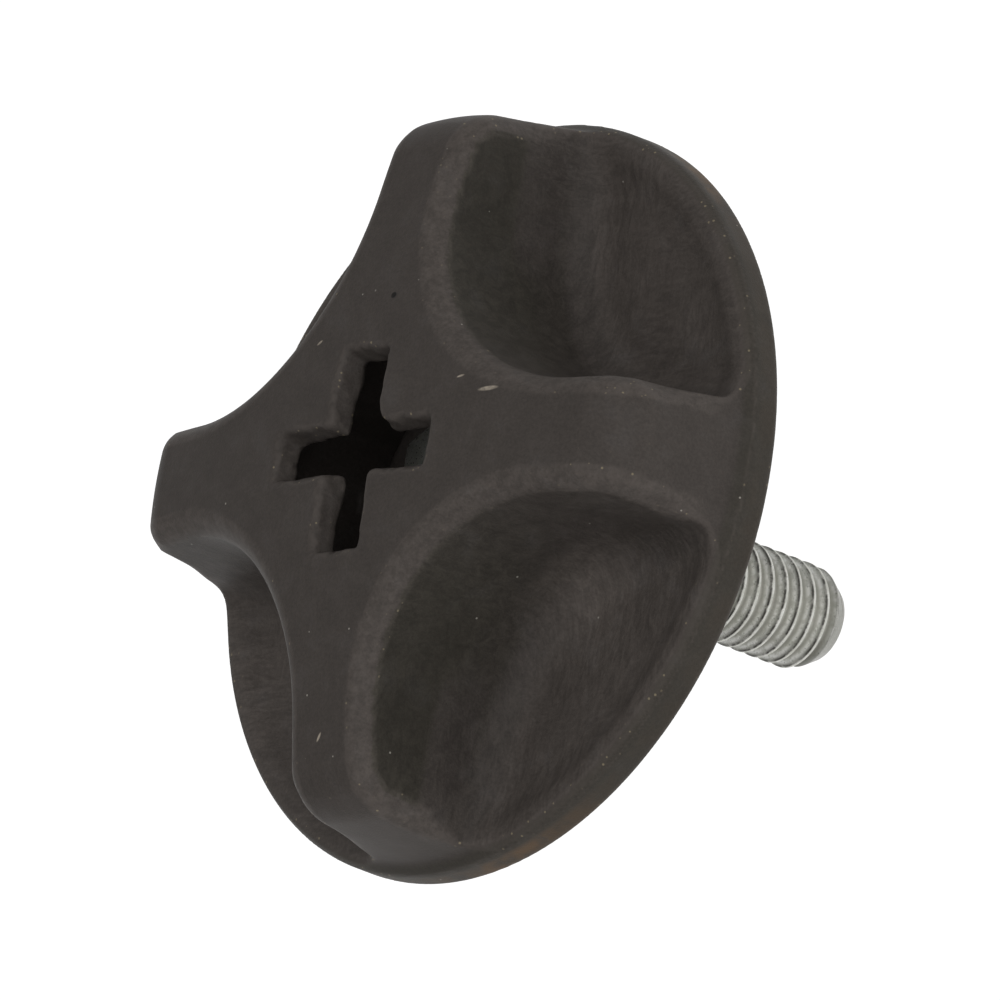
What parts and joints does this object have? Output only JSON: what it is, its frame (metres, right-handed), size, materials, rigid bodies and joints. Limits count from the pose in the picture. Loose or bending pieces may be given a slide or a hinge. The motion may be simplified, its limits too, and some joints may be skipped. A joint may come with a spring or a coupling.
{
  "type": "knob screw",
  "caption": "Round moulded plastic star-knob head with finger pockets and a cross slot, on a threaded steel stud, for hand tightening.",
  "frame": {"origin": "on the screw axis, at the seating face of the boss under the head", "axes": "+Z along the screw axis, out of the face of the head, so the stud points along -Z; +X along one arm of the star and one bar of the cross slot"},
  "size_m": [0.0425, 0.0424, 0.0346],
  "materials": {
    "moulded_plastic": "fine moulded grain, worn lighter at the edges",
    "plated_steel": "zinc plated, rolled thread"
  },
  "bodies": {
    "root": {"knob_head": "moulded_plastic", "threaded_stud": "plated_steel"}
  },
  "joints": []
}
